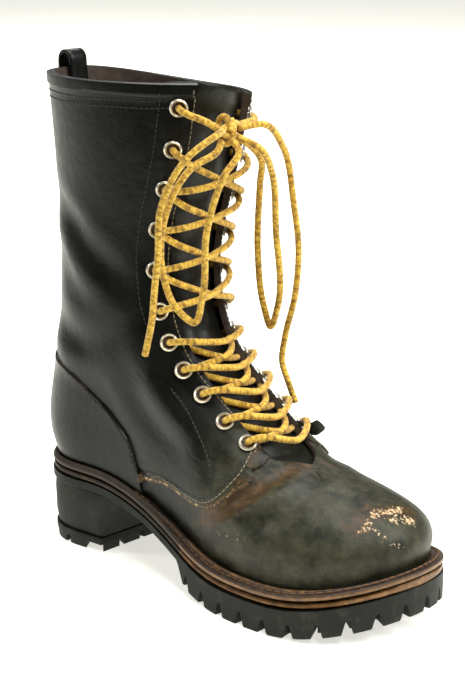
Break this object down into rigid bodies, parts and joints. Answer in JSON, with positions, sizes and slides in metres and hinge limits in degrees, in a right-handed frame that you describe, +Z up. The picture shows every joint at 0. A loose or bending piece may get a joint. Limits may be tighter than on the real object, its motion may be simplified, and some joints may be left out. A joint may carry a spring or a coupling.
{
  "type": "logger boot",
  "caption": "Tall black leather logger boot for the right foot, laced high, with a welted lugged rubber sole and undershot heel.",
  "frame": {"origin": "middle of the heel's resting face, on the floor", "axes": "+X towards the toe, +Y towards the wearer's left, which is this right boot's inner side, +Z up"},
  "size_m": [0.2767, 0.1167, 0.2952],
  "materials": {
    "black_leather": "black waxed leather, worn dull at the toe",
    "black_rubber": "matt black rubber",
    "brown_welt_leather": "brown stitched welt",
    "tan_midsole_leather": "tan cut edge",
    "insole_leather": "plain board",
    "nickel": "dull nickel",
    "yellow_lace": "woven yellow cord with dark flecks"
  },
  "bodies": {
    "root": {"outsole": "black_rubber", "heel_block": "black_rubber", "heel_lift": "black_rubber", "midsole": "tan_midsole_leather", "welt": "brown_welt_leather", "insole": "insole_leather", "upper": "black_leather", "tongue": "black_leather", "pull_loop": "black_leather", "eyelet_outer_01": "nickel", "eyelet_outer_02": "nickel", "eyelet_outer_03": "nickel", "eyelet_outer_04": "nickel", "eyelet_outer_05": "nickel", "eyelet_outer_06": "nickel", "eyelet_outer_07": "nickel", "eyelet_outer_08": "nickel", "eyelet_outer_09": "nickel", "eyelet_outer_10": "nickel", "eyelet_outer_11": "nickel", "eyelet_inner_01": "nickel", "eyelet_inner_02": "nickel", "eyelet_inner_03": "nickel", "eyelet_inner_04": "nickel", "eyelet_inner_05": "nickel", "eyelet_inner_06": "nickel", "eyelet_inner_07": "nickel", "eyelet_inner_08": "nickel", "eyelet_inner_09": "nickel", "eyelet_inner_10": "nickel", "eyelet_inner_11": "nickel", "lace_bar_1": "yellow_lace", "lace_bar_2": "yellow_lace", "lace_bar_3": "yellow_lace", "lace_bar_4": "yellow_lace", "lace_bar_5": "yellow_lace", "lace_crossing_1": "yellow_lace", "lace_crossing_2": "yellow_lace", "lace_crossing_3": "yellow_lace", "lace_crossing_4": "yellow_lace", "lace_knot": "yellow_lace", "lace_loop_outer": "yellow_lace", "lace_loop_inner": "yellow_lace", "lace_end_outer": "yellow_lace", "lace_end_inner": "yellow_lace"}
  },
  "joints": []
}
